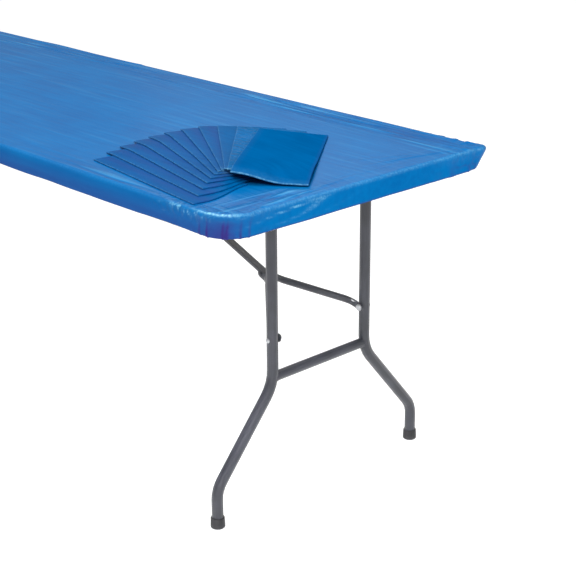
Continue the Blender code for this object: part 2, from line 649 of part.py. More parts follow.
clear_scene()
STEEL = material("grey_powder_coat", (0.095, 0.098, 0.108), 0.45, 0.3)
BRIGHT_STEEL = material("zinc_steel", (0.55, 0.55, 0.56), 0.35, 1.0)
RUBBER = material("black_rubber", (0.03, 0.03, 0.033), 0.7)
PLASTIC = material("moulded_top", (0.72, 0.71, 0.68), 0.55)
BLUE_FILM = material("blue_film", (0.02, 0.19, 0.48), 0.25)
FOLDED_FILM = material("folded_film", (0.0, 0.14, 0.39), 0.3)
ELASTIC = material("blue_elastic", (0.01, 0.10, 0.30), 0.7)

tabletop_panel(screw_places())
fitted_cover()
hem_elastic()
for rail_side, rail_sign in SIDES:
    side_rail(rail_side, rail_sign)
for end_name, end_turn in ENDS:
    end_assembly(end_name, end_turn)
folded_covers()
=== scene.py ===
import math

import bmesh
import bpy
from mathutils import Matrix, Vector, noise


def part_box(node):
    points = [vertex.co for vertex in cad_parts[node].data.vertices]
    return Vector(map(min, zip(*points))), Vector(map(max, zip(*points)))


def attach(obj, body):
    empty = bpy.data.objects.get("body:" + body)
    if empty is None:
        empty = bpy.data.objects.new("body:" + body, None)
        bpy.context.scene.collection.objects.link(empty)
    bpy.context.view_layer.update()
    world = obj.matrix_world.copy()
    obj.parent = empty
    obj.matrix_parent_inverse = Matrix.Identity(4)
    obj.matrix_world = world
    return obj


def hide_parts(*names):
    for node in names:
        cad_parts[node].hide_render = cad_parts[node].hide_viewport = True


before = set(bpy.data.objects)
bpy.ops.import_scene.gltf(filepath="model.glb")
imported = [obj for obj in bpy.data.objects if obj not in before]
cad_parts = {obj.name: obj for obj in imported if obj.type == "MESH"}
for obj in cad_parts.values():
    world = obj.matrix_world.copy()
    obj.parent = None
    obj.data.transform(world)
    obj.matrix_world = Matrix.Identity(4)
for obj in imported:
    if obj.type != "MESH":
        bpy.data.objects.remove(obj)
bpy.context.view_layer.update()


# ---------------------------------------------------------------- camera
# A long lens from a little above the table, in front of the corner where its long side meets end a.
# It stands back far enough that the edges of the top stay nearly parallel.
CAMERA_PLACE = Vector((3.153, -2.042, 1.565))
CAMERA_TURN = math.radians(46.80)
CAMERA_HEIGHT_ANGLE = math.radians(20.66)
CAMERA_ROLL = math.radians(0.38)
CAMERA_LENS = 89.54
SENSOR_WIDTH = 36.0

camera_data = bpy.data.cameras.new("camera")
camera_data.lens = CAMERA_LENS
camera_data.sensor_width = SENSOR_WIDTH
camera = bpy.data.objects.new("camera", camera_data)
bpy.context.scene.collection.objects.link(camera)
flat = math.cos(CAMERA_HEIGHT_ANGLE)
looking_back = Vector((math.sin(CAMERA_TURN) * flat, -math.cos(CAMERA_TURN) * flat,
                       math.sin(CAMERA_HEIGHT_ANGLE)))
camera.rotation_mode = "QUATERNION"
camera.rotation_quaternion = ((-looking_back).to_track_quat("-Z", "Y")
                              @ Matrix.Rotation(-CAMERA_ROLL, 3, "Z").to_quaternion())
camera.location = CAMERA_PLACE
bpy.context.scene.camera = camera


# ---------------------------------------------------------------- studio
# A plain white sweep with softboxes overhead, in front and at end a, and a small one low down for the
# legs. The floor glows, so the shadow under the table stays faint.
def colour(hex_value):
    """A linear colour from an sRGB hex value."""
    channels = [int(hex_value[i:i + 2], 16) / 255 for i in (1, 3, 5)]
    return (*[c / 12.92 if c <= 0.04045 else ((c + 0.055) / 1.055) ** 2.4 for c in channels], 1.0)


def new_material(name):
    """A material with its node tree and its shader."""
    made = bpy.data.materials.new(name)
    made.use_nodes = True
    return made, made.node_tree, made.node_tree.nodes["Principled BSDF"]


def add_node(tree, kind, settings=None, values=None, links=None):
    """Adds a node, sets its properties and unlinked inputs, and links the rest from (node, output)."""
    made = tree.nodes.new(kind)
    for name, value in (settings or {}).items():
        setattr(made, name, value)
    for name, value in (values or {}).items():
        made.inputs[name].default_value = value
    for name, (source, output) in (links or {}).items():
        tree.links.new(source.outputs[output], made.inputs[name])
    return made


def add_piece(name, bm, material, body=None):
    """Makes the object of a new piece; it rides on a body when one is given."""
    mesh = bpy.data.meshes.new(name)
    bm.to_mesh(mesh)
    bm.free()
    mesh.materials.append(material)
    mesh.shade_smooth()
    made = bpy.data.objects.new(name, mesh)
    bpy.context.scene.collection.objects.link(made)
    if body:
        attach(made, body)
    return made


FLOOR_SIZE = 60.0
FLOOR_GLOW = 0.88
AMBIENT_LIGHT = 0.28

floor_material, tree, shader = new_material("white_paper_sweep")
shader.inputs["Base Color"].default_value = colour("#A0A0A0")
shader.inputs["Roughness"].default_value = 0.9
shader.inputs["Specular IOR Level"].default_value = 0.0
shader.inputs["Emission Color"].default_value = colour("#FFFFFF")
shader.inputs["Emission Strength"].default_value = FLOOR_GLOW
bm = bmesh.new()
bmesh.ops.create_grid(bm, x_segments=4, y_segments=4, size=FLOOR_SIZE / 2)
floor = add_piece("floor", bm, floor_material)

world = bpy.data.worlds.new("studio")
world.use_nodes = True
world.node_tree.nodes["Background"].inputs["Color"].default_value = colour("#FFFFFF")
ray = add_node(world.node_tree, "ShaderNodeLightPath")
dimmer = add_node(world.node_tree, "ShaderNodeMapRange", values={"To Min": AMBIENT_LIGHT, "To Max": 1.0},
                  links={"Value": (ray, "Is Camera Ray")})
background = world.node_tree.nodes["Background"]
world.node_tree.links.new(dimmer.outputs["Result"], background.inputs["Strength"])
bpy.context.scene.world = world
bpy.context.scene.view_settings.view_transform = "Standard"


def add_softbox(name, place, target, width, power, beam=180.0):
    """A square area light that faces a point, with the angle of its beam in degrees."""
    data = bpy.data.lights.new(name, "AREA")
    data.shape = "SQUARE"
    data.size = width
    data.energy = power
    data.spread = math.radians(beam)
    made = bpy.data.objects.new(name, data)
    made.location = place
    made.rotation_mode = "QUATERNION"
    made.rotation_quaternion = (Vector(target) - Vector(place)).to_track_quat("-Z", "Y")
    made.visible_camera = False
    bpy.context.scene.collection.objects.link(made)


add_softbox("key_light", (2.9, -2.3, 3.6), (0.9, 0.0, 0.6), 1.5, 98.0)
add_softbox("end_light", (4.0, 1.4, 2.4), (1.0, 0.0, 0.5), 1.6, 37.0)
add_softbox("top_light", (-0.2, -0.6, 4.6), (0.2, 0.0, 0.7), 3.0, 135.0)
add_softbox("leg_light", (1.9, -1.9, 0.8), (1.08, -0.2, 0.2), 0.4, 0.8, 22.0)
add_softbox("back_light", (-2.1, 2.9, 2.5), (1.0, -0.2, 0.74), 1.6, 2.5)


# ---------------------------------------------------------------- steelwork
# Bent steel tube with a dark grey powder coat: satin, with a very fine orange peel and a slight
# change of tone from tube to tube. It is on the leg frames, braces, rails, clamps and brackets.
PEEL_GRAIN = 0.0025
TONE_PATCH = 0.090

steel, tree, shader = new_material("grey_powder_coated_steel")
shader.inputs["Metallic"].default_value = 0.0
shader.inputs["IOR"].default_value = 1.5
shader.inputs["Coat Weight"].default_value = 0.20
shader.inputs["Coat Roughness"].default_value = 0.12
place = add_node(tree, "ShaderNodeTexCoord")
patches = add_node(tree, "ShaderNodeTexNoise", values={"Scale": 1 / TONE_PATCH, "Detail": 3.0},
                   links={"Vector": (place, "Object")})
tone = add_node(tree, "ShaderNodeValToRGB", links={"Fac": (patches, "Fac")})
tone.color_ramp.elements[0].position = 0.35
tone.color_ramp.elements[0].color = colour("#2B2D34")
tone.color_ramp.elements[1].position = 0.65
tone.color_ramp.elements[1].color = colour("#3B3D46")
tree.links.new(tone.outputs["Color"], shader.inputs["Base Color"])
gloss = add_node(tree, "ShaderNodeMapRange", values={"To Min": 0.28, "To Max": 0.38},
                 links={"Value": (patches, "Fac")})
tree.links.new(gloss.outputs["Result"], shader.inputs["Roughness"])
peel = add_node(tree, "ShaderNodeTexNoise", values={"Scale": 1 / PEEL_GRAIN, "Detail": 2.0},
                links={"Vector": (place, "Object")})
peel_bump = add_node(tree, "ShaderNodeBump", values={"Strength": 0.25, "Distance": 0.0002},
                     links={"Height": (peel, "Fac")})
tree.links.new(peel_bump.outputs["Normal"], shader.inputs["Normal"])

ENDS = (("a", 1), ("b", -1))
SIDES = (("left", 1), ("right", -1))


def paint(nodes, material):
    """Gives carried-over nodes their finished material."""
    for node in nodes:
        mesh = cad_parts[node].data
        mesh.materials.clear()
        mesh.materials.append(material)


for end, _ in ENDS:
    paint([f"pivot_tube_{end}", f"cross_tube_{end}", f"brace_link_{end}", f"link_bracket_{end}",
           f"elbow_pin_{end}"], steel)
    for side, _ in SIDES:
        paint([f"leg_{side}_{end}", f"brace_arm_{side}_{end}", f"pivot_clamp_{side}_{end}",
               f"elbow_rivet_{side}_{end}"], steel)
for side, _ in SIDES:
    paint([f"side_rail_{side}"], steel)


# ---------------------------------------------------------------- weld beads
# The ends of the cross tube are coped to the legs and welded all round, and each leg's top is welded
# to the pivot tube the same way. Each weld is a narrow rippled bead, painted over with the frame.
LEG_RADIUS = 0.0127
CROSS_RADIUS = 0.0111
LEG_TOP_Y = 0.141
CROSS_COPE = 0.0058
BEAD_RADIUS = 0.0010
COLLAR_RADIUS = 0.0121
BEAD_RIPPLE = 0.22
BEAD_BEAT = 2.1
BEAD_POINTS = 48


def coped_points(leg_x, leg_y, height, inward):
    """Points on the line where the cross tube meets the inner side of a leg."""
    points = []
    for step in range(BEAD_POINTS):
        turn = 2 * math.pi * step / BEAD_POINTS
        aside = CROSS_RADIUS * math.cos(turn)
        points.append((leg_x + aside, leg_y + inward * math.sqrt(LEG_RADIUS ** 2 - aside ** 2),
                       height + CROSS_RADIUS * math.sin(turn)))
    return points


def collar_points(leg_x, leg_y, height):
    """Points on the line where the top of a leg meets the pivot tube."""
    points = []
    for step in range(BEAD_POINTS):
        turn = 2 * math.pi * step / BEAD_POINTS
        points.append((leg_x + COLLAR_RADIUS * math.cos(turn), leg_y + COLLAR_RADIUS * math.sin(turn),
                       height - COLLAR_RADIUS * abs(math.sin(turn))))
    return points


def add_loop(name, knots, radius, material, body):
    """A closed tube of uneven thickness; each knot is a point and the share of the radius there."""
    line = bpy.data.curves.new(name + "_line", "CURVE")
    line.dimensions = "3D"
    line.bevel_depth = radius
    line.bevel_resolution = 2
    spline = line.splines.new("POLY")
    spline.points.add(len(knots) - 1)
    for knot, (point, share) in zip(spline.points, knots):
        knot.co = (*point, 1.0)
        knot.radius = share
    spline.use_cyclic_u = True
    drawn = bpy.data.objects.new(name + "_line", line)
    mesh = bpy.data.meshes.new_from_object(drawn)
    bpy.data.objects.remove(drawn)
    mesh.materials.clear()
    mesh.materials.append(material)
    mesh.shade_smooth()
    made = bpy.data.objects.new(name, mesh)
    bpy.context.scene.collection.objects.link(made)
    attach(made, body)
    return made


def add_bead(name, points, body):
    """A rippled weld bead along a closed line of points."""
    knots = [(point, 1.0 + BEAD_RIPPLE * math.sin(index * BEAD_BEAT)) for index, point in enumerate(points)]
    add_loop(name, knots, BEAD_RADIUS, steel, body)


for end, _ in ENDS:
    low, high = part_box(f"cross_tube_{end}")
    cross_height = (low.z + high.z) / 2
    leg_y = high.y + LEG_RADIUS - CROSS_COPE
    low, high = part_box(f"pivot_tube_{end}")
    leg_x = (low.x + high.x) / 2
    pivot_height = (low.z + high.z) / 2
    for side, sign in SIDES:
        add_bead(f"cross_weld_{side}_{end}", coped_points(leg_x, sign * leg_y, cross_height, -sign),
                 f"leg_frame_{end}")
        add_bead(f"pivot_weld_{side}_{end}", collar_points(leg_x, sign * LEG_TOP_Y, pivot_height),
                 f"leg_frame_{end}")


# ---------------------------------------------------------------- rivets, pins and screws
# Zinc-plated steel: bright, with a faint brushed haze from tumbling. The inner end of each leg rivet
# has a push cap: zinc on the left legs, black on the right, where the black is painted shade on the rivet
# head. The elbows are painted over.
ZINC_GRAIN = 0.0012

zinc, tree, shader = new_material("zinc_plated_steel")
shader.inputs["Base Color"].default_value = colour("#B9BBBF")
shader.inputs["Metallic"].default_value = 1.0
place = add_node(tree, "ShaderNodeTexCoord")
haze = add_node(tree, "ShaderNodeTexNoise", values={"Scale": 1 / ZINC_GRAIN, "Detail": 3.0},
                links={"Vector": (place, "Object")})
gloss = add_node(tree, "ShaderNodeMapRange", values={"To Min": 0.25, "To Max": 0.45},
                 links={"Value": (haze, "Fac")})
tree.links.new(gloss.outputs["Result"], shader.inputs["Roughness"])
for end, _ in ENDS:
    paint([f"link_pin_{end}"], zinc)
    for side, _ in SIDES:
        paint([f"leg_rivet_{side}_{end}"], zinc)
        paint([f"clamp_screw_{side}_inner_{end}", f"clamp_screw_{side}_outer_{end}"], zinc)

CAP_RADIUS = 0.0078
CAP_DEPTH = 0.0046
CAP_WALL = 0.0006
CAP_ROUNDING = 0.0028
SPECKLE_SIZE = 0.0011

# The black of the caps on the right legs is painted shade.
shade_black, tree, shader = new_material("black_painted_shade")
shader.inputs["Base Color"].default_value = colour("#1B1B1D")
place = add_node(tree, "ShaderNodeTexCoord")
speckle = add_node(tree, "ShaderNodeTexNoise", values={"Scale": 1 / SPECKLE_SIZE},
                   links={"Vector": (place, "Object")})
gloss = add_node(tree, "ShaderNodeMapRange", values={"To Min": 0.4, "To Max": 0.55},
                 links={"Value": (speckle, "Fac")})
tree.links.new(gloss.outputs["Result"], shader.inputs["Roughness"])
for end, _ in ENDS:
    for side, sign in SIDES:
        low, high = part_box(f"leg_rivet_{side}_{end}")
        inner = low.y if sign > 0 else high.y
        bm = bmesh.new()
        bmesh.ops.create_circle(bm, cap_ends=True, segments=24, radius=CAP_RADIUS)
        dome = bmesh.ops.extrude_face_region(bm, geom=bm.faces[:])["geom"]
        bmesh.ops.translate(bm, verts=[v for v in dome if isinstance(v, bmesh.types.BMVert)],
                            vec=(0, 0, CAP_DEPTH))
        edges = [edge for edge in bm.edges if all(vert.co.z > CAP_DEPTH / 2 for vert in edge.verts)]
        bmesh.ops.bevel(bm, geom=edges, offset=CAP_ROUNDING, segments=4, profile=0.5, affect="EDGES",
                        material=-1)
        bmesh.ops.rotate(bm, verts=bm.verts, matrix=Matrix.Rotation(sign * math.pi / 2, 3, "X"))
        bmesh.ops.translate(bm, verts=bm.verts,
                            vec=((low.x + high.x) / 2, inner + sign * (CAP_DEPTH - CAP_WALL),
                                 (low.z + high.z) / 2))
        bmesh.ops.recalc_face_normals(bm, faces=bm.faces)
        # Zinc caps on the left legs; black ones, as painted shade, on the right.
        finish, slot = (zinc, "zinc_steel") if sign > 0 else (shade_black, "foot_rubber")
        add_piece(f"rivet_cap_{side}_{end}", bm, finish, f"leg_frame_{end}")


# ---------------------------------------------------------------- foot caps
# Black moulded rubber cups pushed on the ends of the legs: matt, with a slight bloom. They are scuffed
# and dusty towards the sole.
SCUFF_SIZE = 0.0031
SCUFF_HEIGHT = 0.012

rubber, tree, shader = new_material("moulded_rubber")
place = add_node(tree, "ShaderNodeTexCoord")
height = add_node(tree, "ShaderNodeSeparateXYZ", links={"Vector": (place, "Object")})
scuffs = add_node(tree, "ShaderNodeTexNoise", values={"Scale": 1 / SCUFF_SIZE, "Detail": 4.0},
                  links={"Vector": (place, "Object")})
low_down = add_node(tree, "ShaderNodeMapRange",
                    values={"From Min": 0.0, "From Max": SCUFF_HEIGHT, "To Min": 0.5, "To Max": 0.0},
                    links={"Value": (height, "Z")})
dust = add_node(tree, "ShaderNodeMath", {"operation": "MULTIPLY"},
                links={0: (scuffs, "Fac"), 1: (low_down, "Result")})
tone = add_node(tree, "ShaderNodeMix", {"data_type": "RGBA"}, links={"Factor": (dust, "Value")})
tone.inputs[6].default_value = colour("#2A2A2D")
tone.inputs[7].default_value = colour("#5A5A5C")
tree.links.new(tone.outputs[2], shader.inputs["Base Color"])
shader.inputs["Roughness"].default_value = 0.62
grain = add_node(tree, "ShaderNodeBump", values={"Strength": 0.3, "Distance": 0.0002},
                 links={"Height": (scuffs, "Fac")})
tree.links.new(grain.outputs["Normal"], shader.inputs["Normal"])
for end, _ in ENDS:
    for side, _ in SIDES:
        paint([f"foot_cap_{side}_{end}"], rubber)


# ---------------------------------------------------------------- moulded top
# Blow-moulded polyethylene in warm off-white. Its underside has a fine leather grain and rows of
# shallow dimples where the two walls of the moulding are pinched together.
DIMPLE_PITCH = 0.055
GRAIN_PITCH = 0.0018
MOTTLE_SIZE = 0.111

plastic, tree, shader = new_material("blow_moulded_polyethylene")
place = add_node(tree, "ShaderNodeTexCoord")
mottle = add_node(tree, "ShaderNodeTexNoise", values={"Scale": 1 / MOTTLE_SIZE, "Detail": 3.0},
                  links={"Vector": (place, "Object")})
tone = add_node(tree, "ShaderNodeMix", {"data_type": "RGBA"}, links={"Factor": (mottle, "Fac")})
tone.inputs[6].default_value = colour("#D8D5CE")
tone.inputs[7].default_value = colour("#E6E3DC")
tree.links.new(tone.outputs[2], shader.inputs["Base Color"])
shader.inputs["Roughness"].default_value = 0.5
shader.inputs["IOR"].default_value = 1.51
dimples = add_node(tree, "ShaderNodeTexVoronoi", {"voronoi_dimensions": "2D"},
                   {"Scale": 1 / DIMPLE_PITCH, "Randomness": 0.0}, {"Vector": (place, "Object")})
hollow = add_node(tree, "ShaderNodeMapRange", {"interpolation_type": "SMOOTHSTEP"},
                  {"From Min": 0.12, "From Max": 0.34}, {"Value": (dimples, "Distance")})
grain = add_node(tree, "ShaderNodeTexNoise", values={"Scale": 1 / GRAIN_PITCH, "Detail": 2.0},
                 links={"Vector": (place, "Object")})
deep = add_node(tree, "ShaderNodeBump", values={"Strength": 0.8, "Distance": 0.003},
                links={"Height": (hollow, "Result")})
fine = add_node(tree, "ShaderNodeBump", values={"Strength": 0.35, "Distance": 0.0003},
                links={"Height": (grain, "Fac"), "Normal": (deep, "Normal")})
tree.links.new(fine.outputs["Normal"], shader.inputs["Normal"])
paint(["tabletop_panel"], plastic)


# ---------------------------------------------------------------- fan of folded covers: where they lie
# Eleven spare covers, each folded flat to a packet, are fanned out near one corner. The packets are
# limp: each lies on those below it and sags to the table beside them.
SPARE_COUNT = 11
SPARE_WIDTH = 0.159
SPARE_LENGTH = 0.400
SPARE_PITCH = 0.0030
SPARE_THICKNESS = 0.0026
FAN_CORNER = (1.0114, -0.2340)
FAN_DRIFT = (-0.0261, 0.0707)
FAN_CURL = (0.0626, -0.0596)
FAN_ANGLE = math.radians(66.1)
FAN_SPREAD = math.radians(21.4)
FAN_BOW = math.radians(5.2)
BOWED_COVERS = 8
FRONT_BOW = 0.048
BOW_START = 0.03
BOW_RUN = 0.14
BOW_LENGTH = 0.16
SAG_REACH = 0.048
TABLE_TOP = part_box("fitted_cover")[1].z


def fan_place(index):
    """Corner and turn of one folded cover, the lowest being 0."""
    share = 2 * index / (SPARE_COUNT - 1) - 1
    x, y = (corner + drift * share + curl * share ** 2
            for corner, drift, curl in zip(FAN_CORNER, FAN_DRIFT, FAN_CURL))
    return x, y, FAN_ANGLE - FAN_SPREAD * share - FAN_BOW * share ** 2


FAN = [(x, y, math.cos(turn), math.sin(turn)) for x, y, turn in map(fan_place, range(SPARE_COUNT))]


def smooth(value):
    """Eases a value between 0 and 1."""
    value = min(max(value, 0.0), 1.0)
    return value * value * (3.0 - 2.0 * value)


def front_bow(index, across):
    """How far the front edge of a folded cover is drawn back; the lowest ones are drawn back most."""
    return FRONT_BOW * max(1.0 - index / BOWED_COVERS, 0.0) * smooth((across - BOW_START) / BOW_RUN)


def outside_packet(index, x, y):
    """How far a point of the table top is outside one folded cover."""
    corner_x, corner_y, cos_turn, sin_turn = FAN[index]
    along = (x - corner_x) * cos_turn + (y - corner_y) * sin_turn
    up = (y - corner_y) * cos_turn - (x - corner_x) * sin_turn
    front = front_bow(index, along)
    return math.hypot(max(-along, along - SPARE_WIDTH, 0.0), max(front - up, up - SPARE_LENGTH, 0.0))


# ---------------------------------------------------------------- fitted cover: the film
# Low-density polyethylene film, blue right through, about as thick as a rubbish bag. It is glossy,
# faintly streaked along its length from extrusion, and crinkled where it is gathered or stretched.
STREAK_WIDTH = 0.012
PATCH_SIZE = 0.1429
CRINKLE_SIZE = 0.014
CRINKLE_BEND = 0.01667
FLECK_SIZE = 0.005
CREASE_PITCH = 0.020
CREASE_DEPTH = 0.013
# Colours of painted shade in folds and crease valleys, and of painted highlights on crease crests and
# edges.
FOLD_SHADE_VIOLET = "#38327E"
VALLEY_SHADE_BLUE = "#004E92"
CREST_HIGHLIGHT_BLUE = "#4AA6DC"
HIGHLIGHT_BLUE = "#8FD6F2"
PULLS = (("pull_across", math.radians(8.0), (1.0, 0.09, 1.0)),
         ("pull_along", math.radians(-1.5), (0.05, 1.0, 1.0)))


def film_material(name, light, dark, crinkle, roughness):
    """Blue film: streaked and crinkled, with painted shade (darker, more violet) in folds and painted
    highlights.
    """
    made, tree, shader = new_material(name)
    place = add_node(tree, "ShaderNodeTexCoord")
    along = add_node(tree, "ShaderNodeMapping", values={"Scale": (0.06, 1.0, 1.0)},
                     links={"Vector": (place, "Object")})
    streaks = add_node(tree, "ShaderNodeTexNoise", values={"Scale": 1 / STREAK_WIDTH, "Detail": 4.0},
                       links={"Vector": (along, "Vector")})
    patches = add_node(tree, "ShaderNodeTexNoise", values={"Scale": 1 / PATCH_SIZE, "Detail": 3.0},
                       links={"Vector": (place, "Object")})
    blend = add_node(tree, "ShaderNodeMix", {"data_type": "FLOAT"}, {"Factor": 0.5},
                     {2: (streaks, "Fac"), 3: (patches, "Fac")})
    spread = add_node(tree, "ShaderNodeMapRange", values={"From Min": 0.38, "From Max": 0.62},
                      links={"Value": (blend, 0)})
    tone = add_node(tree, "ShaderNodeMix", {"data_type": "RGBA"}, links={"Factor": (spread, "Result")})
    tone.inputs[6].default_value = colour(dark)
    tone.inputs[7].default_value = colour(light)
    # Painted shade: darker and more violet where the fold_shade mask says.
    depth = add_node(tree, "ShaderNodeAttribute", {"attribute_name": "fold_shade"})
    folded = add_node(tree, "ShaderNodeMix", {"data_type": "RGBA"},
                      links={"Factor": (depth, "Fac"), 6: (tone, 2)})
    folded.inputs[7].default_value = colour(FOLD_SHADE_VIOLET)

    ridges = []
    tinted = folded
    for pull, turn, squash in PULLS:
        amount = add_node(tree, "ShaderNodeAttribute", {"attribute_name": pull})
        across = add_node(tree, "ShaderNodeMapping", values={"Rotation": (0.0, 0.0, turn), "Scale": squash},
                          links={"Vector": (place, "Object")})
        waves = add_node(tree, "ShaderNodeTexNoise", values={"Scale": 1 / CREASE_PITCH, "Detail": 1.5},
                         links={"Vector": (across, "Vector")})
        centred = add_node(tree, "ShaderNodeMath", {"operation": "SUBTRACT"}, {1: 0.5}, {0: (waves, "Fac")})
        sharp = add_node(tree, "ShaderNodeMath", {"operation": "ABSOLUTE"}, links={0: (centred, "Value")})
        height = add_node(tree, "ShaderNodeMath", {"operation": "MULTIPLY"},
                          links={0: (sharp, "Value"), 1: (amount, "Fac")})
        ridges.append(height)
        # Painted shade in the valleys of the creases and a painted highlight on their crests.
        valley = add_node(tree, "ShaderNodeMapRange",
                          values={"From Max": 0.045, "To Min": 0.90, "To Max": 0.0},
                          links={"Value": (sharp, "Value")})
        dim = add_node(tree, "ShaderNodeMath", {"operation": "MULTIPLY", "use_clamp": True},
                       links={0: (valley, "Result"), 1: (amount, "Fac")})
        darker = add_node(tree, "ShaderNodeMix", {"data_type": "RGBA"},
                          links={"Factor": (dim, "Value"), 6: (tinted, 2)})
        darker.inputs[7].default_value = colour(VALLEY_SHADE_BLUE)
        crest = add_node(tree, "ShaderNodeMapRange",
                         values={"From Min": 0.11, "From Max": 0.20, "To Max": 0.7},
                         links={"Value": (sharp, "Value")})
        lift = add_node(tree, "ShaderNodeMath", {"operation": "MULTIPLY", "use_clamp": True},
                        links={0: (crest, "Result"), 1: (amount, "Fac")})
        tinted = add_node(tree, "ShaderNodeMix", {"data_type": "RGBA"},
                          links={"Factor": (lift, "Value"), 6: (darker, 2)})
        tinted.inputs[7].default_value = colour(CREST_HIGHLIGHT_BLUE)

    flecks = add_node(tree, "ShaderNodeTexNoise", values={"Scale": 1 / FLECK_SIZE, "Detail": 2.0},
                      links={"Vector": (place, "Object")})
    broken = add_node(tree, "ShaderNodeMapRange",
                      values={"From Min": 0.42, "From Max": 0.60, "To Min": 0.40, "To Max": 1.0},
                      links={"Value": (flecks, "Fac")})
    # Painted highlight, broken up into flecks, where the highlight mask says.
    highlight = add_node(tree, "ShaderNodeAttribute", {"attribute_name": "highlight"})
    pale = add_node(tree, "ShaderNodeMath", {"operation": "MULTIPLY", "use_clamp": True},
                    links={0: (highlight, "Fac"), 1: (broken, "Result")})
    highlighted = add_node(tree, "ShaderNodeMix", {"data_type": "RGBA"},
                         links={"Factor": (pale, "Value"), 6: (tinted, 2)})
    highlighted.inputs[7].default_value = colour(HIGHLIGHT_BLUE)
    tree.links.new(highlighted.outputs[2], shader.inputs["Base Color"])

    sheen = add_node(tree, "ShaderNodeAttribute", {"attribute_name": "sheen"})
    mirror = add_node(tree, "ShaderNodeMapRange", values={"To Max": 0.18},
                      links={"Value": (sheen, "Fac")})
    tree.links.new(mirror.outputs["Result"], shader.inputs["Specular IOR Level"])
    shader.inputs["IOR"].default_value = 1.51
    gloss = add_node(tree, "ShaderNodeMapRange",
                     values={"To Min": roughness - 0.05, "To Max": roughness + 0.06},
                     links={"Value": (patches, "Fac")})
    tree.links.new(gloss.outputs["Result"], shader.inputs["Roughness"])

    loose = add_node(tree, "ShaderNodeAttribute", {"attribute_name": "loose"})
    bend = add_node(tree, "ShaderNodeTexNoise", values={"Scale": 1 / CRINKLE_BEND, "Detail": 1.0},
                    links={"Vector": (place, "Object")})
    bent = add_node(tree, "ShaderNodeMix", {"data_type": "VECTOR"}, {"Factor": 0.012},
                    {4: (place, "Object"), 5: (bend, "Color")})
    facets = add_node(tree, "ShaderNodeTexVoronoi", {"feature": "SMOOTH_F1"},
                      {"Scale": 1 / CRINKLE_SIZE, "Smoothness": 0.25}, {"Vector": (bent, 1)})
    relief = add_node(tree, "ShaderNodeMath", {"operation": "MULTIPLY"},
                      links={0: (facets, "Distance"), 1: (loose, "Fac")})
    normal = add_node(tree, "ShaderNodeBump", values={"Strength": crinkle, "Distance": 0.004},
                      links={"Height": (relief, "Value")})
    for height in ridges:
        normal = add_node(tree, "ShaderNodeBump", values={"Distance": CREASE_DEPTH},
                          links={"Height": (height, "Value"), "Normal": (normal, "Normal")})
    ripple = add_node(tree, "ShaderNodeBump", values={"Strength": 0.12, "Distance": 0.0015},
                      links={"Height": (streaks, "Fac"), "Normal": (normal, "Normal")})
    tree.links.new(ripple.outputs["Normal"], shader.inputs["Normal"])
    return made


film = film_material("blue_polyethylene_film", "#006EB2", "#0064A8", 0.9, 0.24)


# ---------------------------------------------------------------- fitted cover: its shape
# One sheet of film, 0.92 x 2.60 m, stretched over the top and turned in under the rim, where elastic
# gathers it. The spare film at each corner stands up in pleats, and pulls long creases along the top.
FILM_THICKNESS = 0.0006
CORNER_RADIUS = 0.072
EDGE_RADIUS = 0.007
HEM_RADIUS = 0.0025
SKIRT_HEIGHT = 0.0475
TURNED_IN = 0.022
COVER_LENGTH = 2.438
COVER_WIDTH = 0.762
MIDDLE_COLUMNS = 162
EDGE_COLUMNS = 64
MIDDLE_ROWS = 62
EDGE_ROWS = 51
FINE_MARGIN_X = 0.090
FINE_MARGIN_Y = 0.030

PLEAT_HEIGHT = 0.0020
PLEAT_WIDTH = 0.0026
GATHER_HEIGHT = 0.0011
CRUMPLE_HEIGHT = 0.0022
RAY_CREASE_HEIGHT = 0.0022
LONG_CREASE_HEIGHT = 0.0020
END_CREASE_HEIGHT = 0.0012
SWAY_HEIGHT = 0.0012
CLEAR_MARGIN = 0.030
PLEATS = (0.012, 0.030, 0.056, 0.064, 0.098, 0.119)
EARS = {(1, 1): 0.031, (-1, 1): 0.012, (-1, -1): 0.010, (1, -1): 0.0}
EAR_WIDTH = 0.024
CORNER_REACH = 0.09
GATHER_BEAT = 640.0
# Masks that tell the film's material where to paint shade, where it is loose and crinkled, where to paint
# highlights, where it is glossy, and how strongly it is creased across and along the top.
MASKS = ("fold_shade", "loose", "highlight", "sheen", "pull_across", "pull_along")

STRAIGHT_X = COVER_LENGTH / 2 - CORNER_RADIUS
STRAIGHT_Y = COVER_WIDTH / 2 - CORNER_RADIUS
LIP = CORNER_RADIUS - EDGE_RADIUS
SHOULDER = EDGE_RADIUS * math.pi / 2
DROP = SKIRT_HEIGHT - EDGE_RADIUS - HEM_RADIUS
ROLL = HEM_RADIUS * math.pi / 2
REACH = LIP + SHOULDER + DROP + ROLL + TURNED_IN - HEM_RADIUS


def spread_out(share, straight, margin, middle, edge):
    """Spaces the columns or rows of a sheet, closer together near its edges."""
    count = middle + 2 * edge
    at = (share + 1) / 2 * count
    inner = straight - margin
    if at < edge:
        return -inner - (REACH + margin) * (1 - at / edge)
    if at > count - edge:
        return inner + (REACH + margin) * (at - count + edge) / edge
    return inner * (2 * (at - edge) / middle - 1)


